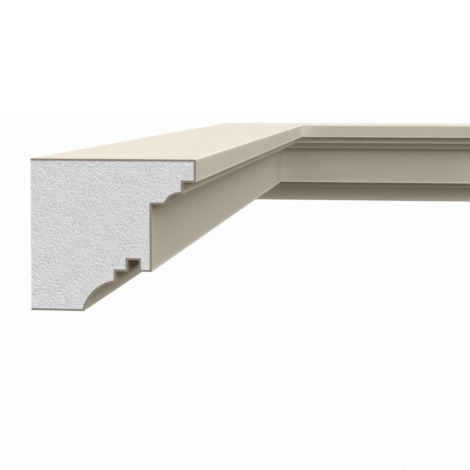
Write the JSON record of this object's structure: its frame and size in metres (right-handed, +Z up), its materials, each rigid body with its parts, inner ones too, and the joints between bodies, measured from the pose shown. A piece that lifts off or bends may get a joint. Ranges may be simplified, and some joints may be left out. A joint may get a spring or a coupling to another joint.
{
  "type": "foam cornice moulding, two lengths mitred at an inside corner",
  "caption": "Coated-foam facade cornice running round an inside corner, with fascia, coves, frieze and drip groove, its ends cut square to show the foam core.",
  "frame": {"origin": "centre of the side length's wall face, at half the section height and half the side length", "axes": "+X out from the side wall and along the back length, +Y along the side length into the back wall, +Z up"},
  "size_m": [0.72, 2.04, 0.22],
  "materials": {
    "bead_foam": "cut expanded bead foam, matt white",
    "mineral_coating": "fine troweled mineral coating, matt warm beige"
  },
  "bodies": {
    "root": {"side_length_foam_core": "bead_foam", "side_length_coating": "mineral_coating", "back_length_foam_core": "bead_foam", "back_length_coating": "mineral_coating"}
  },
  "joints": []
}
